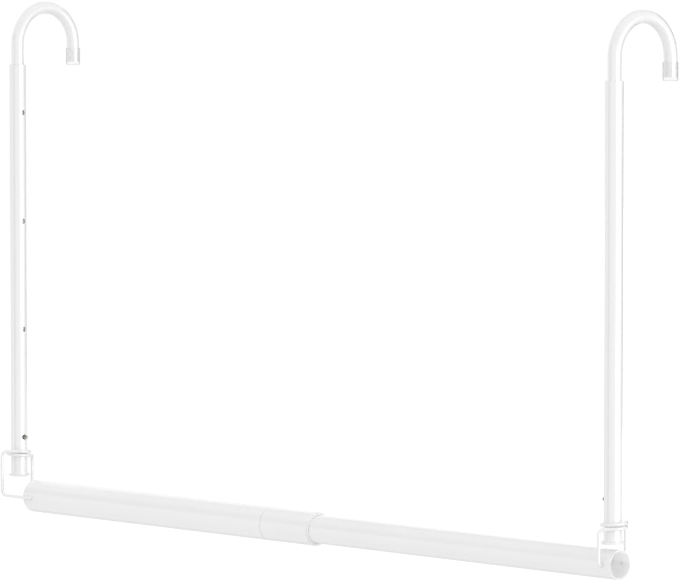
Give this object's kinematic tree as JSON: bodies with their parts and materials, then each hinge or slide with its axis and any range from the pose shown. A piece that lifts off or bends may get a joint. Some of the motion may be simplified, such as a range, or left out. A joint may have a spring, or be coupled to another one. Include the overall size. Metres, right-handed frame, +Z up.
{
  "type": "hang-below closet rod",
  "caption": "Closet rod that hangs below an existing rail: telescoping hanging tube carried by wire bails on height-adjustable J-hook uprights with snap buttons.",
  "frame": {"origin": "on the axis of the hanging tube, midway between the two uprights as pictured", "axes": "+X along the hanging tube towards the end with the small tube, +Y towards the tips of the hooks, +Z up"},
  "size_m": [0.8303, 0.0986, 0.4983],
  "materials": {
    "white_powder_coat": "smooth satin powder coat",
    "white_moulded_plastic": "satin moulded",
    "soft_tip_cap": "clear dipped vinyl",
    "snap_button_steel": "polished nickel plate",
    "spring_steel": "blued strip"
  },
  "bodies": {
    "rod_outer": {"rod_outer_tube": "white_powder_coat", "rod_sleeve": "white_powder_coat", "rod_bush": "white_moulded_plastic"},
    "rod_inner": {"rod_inner_tube": "white_powder_coat", "rod_tail_bush": "white_moulded_plastic"},
    "left_bail": {"left_bail": "white_powder_coat"},
    "left_upright": {"left_upright_tube": "white_powder_coat", "left_flange_plug": "white_moulded_plastic", "left_top_bush": "white_moulded_plastic"},
    "left_hook": {"left_hook_tube": "white_powder_coat", "left_hook_cap": "soft_tip_cap", "left_tube_glide": "white_moulded_plastic", "left_button_spring": "spring_steel"},
    "left_button": {"left_snap_button": "snap_button_steel"},
    "right_bail": {"right_bail": "white_powder_coat"},
    "right_upright": {"right_upright_tube": "white_powder_coat", "right_flange_plug": "white_moulded_plastic", "right_top_bush": "white_moulded_plastic"},
    "right_hook": {"right_hook_tube": "white_powder_coat", "right_hook_cap": "soft_tip_cap", "right_tube_glide": "white_moulded_plastic", "right_button_spring": "spring_steel"},
    "right_button": {"right_snap_button": "snap_button_steel"}
  },
  "joints": [
    {"name": "rod_telescope", "type": "slide", "parent": "rod_outer", "child": "rod_inner", "axis": [1, 0, 0], "range_m": [-0.28, 0.0055]},
    {"name": "left_pivot", "type": "hinge", "parent": "rod_outer", "child": "left_bail", "pos_m": [-0.3655, 0, 0], "axis": [0, 1, 0], "range_deg": [-180, 90]},
    {"name": "right_pivot", "type": "hinge", "parent": "rod_inner", "child": "right_bail", "pos_m": [0.4013, 0, 0], "axis": [0, 1, 0], "range_deg": [-17, 197]},
    {"name": "left_swivel", "type": "hinge", "parent": "left_bail", "child": "left_upright", "pos_m": [-0.402, 0, 0.2], "axis": [0, 0, 1], "continuous": true},
    {"name": "left_height", "type": "slide", "parent": "left_upright", "child": "left_hook", "axis": [0, 0, 1], "range_m": [0, 0.318], "deforming": ["left_button_spring", "left_snap_button"]},
    {"name": "left_button_press", "type": "slide", "parent": "left_hook", "child": "left_button", "axis": [-1, 0, 0], "range_m": [0, 0.0052], "stiffness_N_per_m": 1500, "springref_m": -0.002, "deforming": ["left_button_spring"]},
    {"name": "right_swivel", "type": "hinge", "parent": "right_bail", "child": "right_upright", "pos_m": [0.402, 0, 0.2], "axis": [0, 0, 1], "continuous": true},
    {"name": "right_height", "type": "slide", "parent": "right_upright", "child": "right_hook", "axis": [0, 0, 1], "range_m": [0, 0.318], "deforming": ["right_button_spring", "right_snap_button"]},
    {"name": "right_button_press", "type": "slide", "parent": "right_hook", "child": "right_button", "axis": [1, 0, 0], "range_m": [0, 0.0052], "stiffness_N_per_m": 1500, "springref_m": -0.002, "deforming": ["right_button_spring"]}
  ]
}
